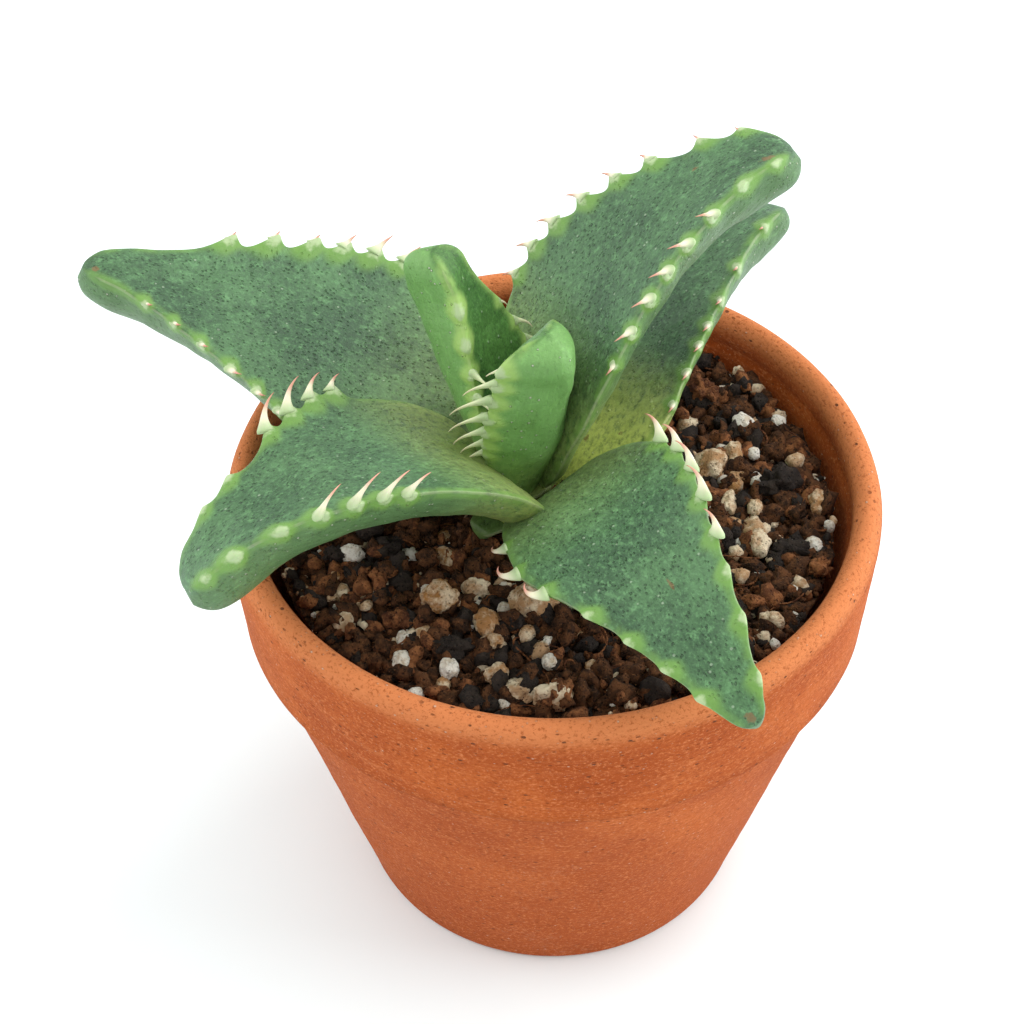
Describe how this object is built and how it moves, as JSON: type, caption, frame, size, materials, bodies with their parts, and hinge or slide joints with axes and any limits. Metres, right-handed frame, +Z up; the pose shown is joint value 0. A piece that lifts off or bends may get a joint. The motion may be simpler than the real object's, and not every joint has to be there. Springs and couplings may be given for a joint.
{
  "type": "potted faucaria",
  "caption": "Small tiger-jaws succulent with thick toothed leaves in a gritty potting mix, in a tapered terracotta pot with an upright rim band.",
  "frame": {"origin": "bottom centre of the whole model's box, on the surface the pot stands on; the pot's own axis stands 8.4 mm along +X and 1.3 mm along +Y from it, because the leaves reach further one way", "axes": "+Z up along the pot's axis; +X to the right and +Y to the back as the plant is usually seen, with the longest leaf reaching to -X"},
  "size_m": [0.0928, 0.0786, 0.0977],
  "materials": {
    "terracotta": "matte",
    "potting_mix": "matte",
    "stem": "satin",
    "mature_leaf": "satin",
    "young_leaf": "satin",
    "old_leaf": "satin",
    "perlite": "matte",
    "pumice": "matte",
    "lava": "matte",
    "bark": "matte"
  },
  "bodies": {
    "root": {"bark_01": "bark", "bark_02": "bark", "bark_03": "bark", "bark_04": "bark", "bark_05": "bark", "bark_06": "bark", "bark_07": "bark", "bark_08": "bark", "inner_leaf_back": "young_leaf", "inner_leaf_front": "young_leaf", "lava_01": "lava", "lava_02": "lava", "lava_03": "lava", "lava_04": "lava", "lava_05": "lava", "lava_06": "lava", "lava_07": "lava", "lava_08": "lava", "leaf_northeast_lower": "mature_leaf", "leaf_northeast_upper": "mature_leaf", "leaf_southeast": "mature_leaf", "leaf_southwest": "mature_leaf", "leaf_west": "mature_leaf", "old_leaf_stub": "old_leaf", "perlite_01": "perlite", "perlite_02": "perlite", "perlite_03": "perlite", "perlite_04": "perlite", "perlite_05": "perlite", "perlite_06": "perlite", "perlite_07": "perlite", "perlite_08": "perlite", "perlite_09": "perlite", "perlite_10": "perlite", "pot": "terracotta", "potting_mix": "potting_mix", "pumice_01": "pumice", "pumice_02": "pumice", "pumice_03": "pumice", "pumice_04": "pumice", "pumice_05": "pumice", "pumice_06": "pumice", "pumice_07": "pumice", "pumice_08": "pumice", "pumice_09": "pumice", "pumice_10": "pumice", "stem": "stem"}
  },
  "joints": []
}
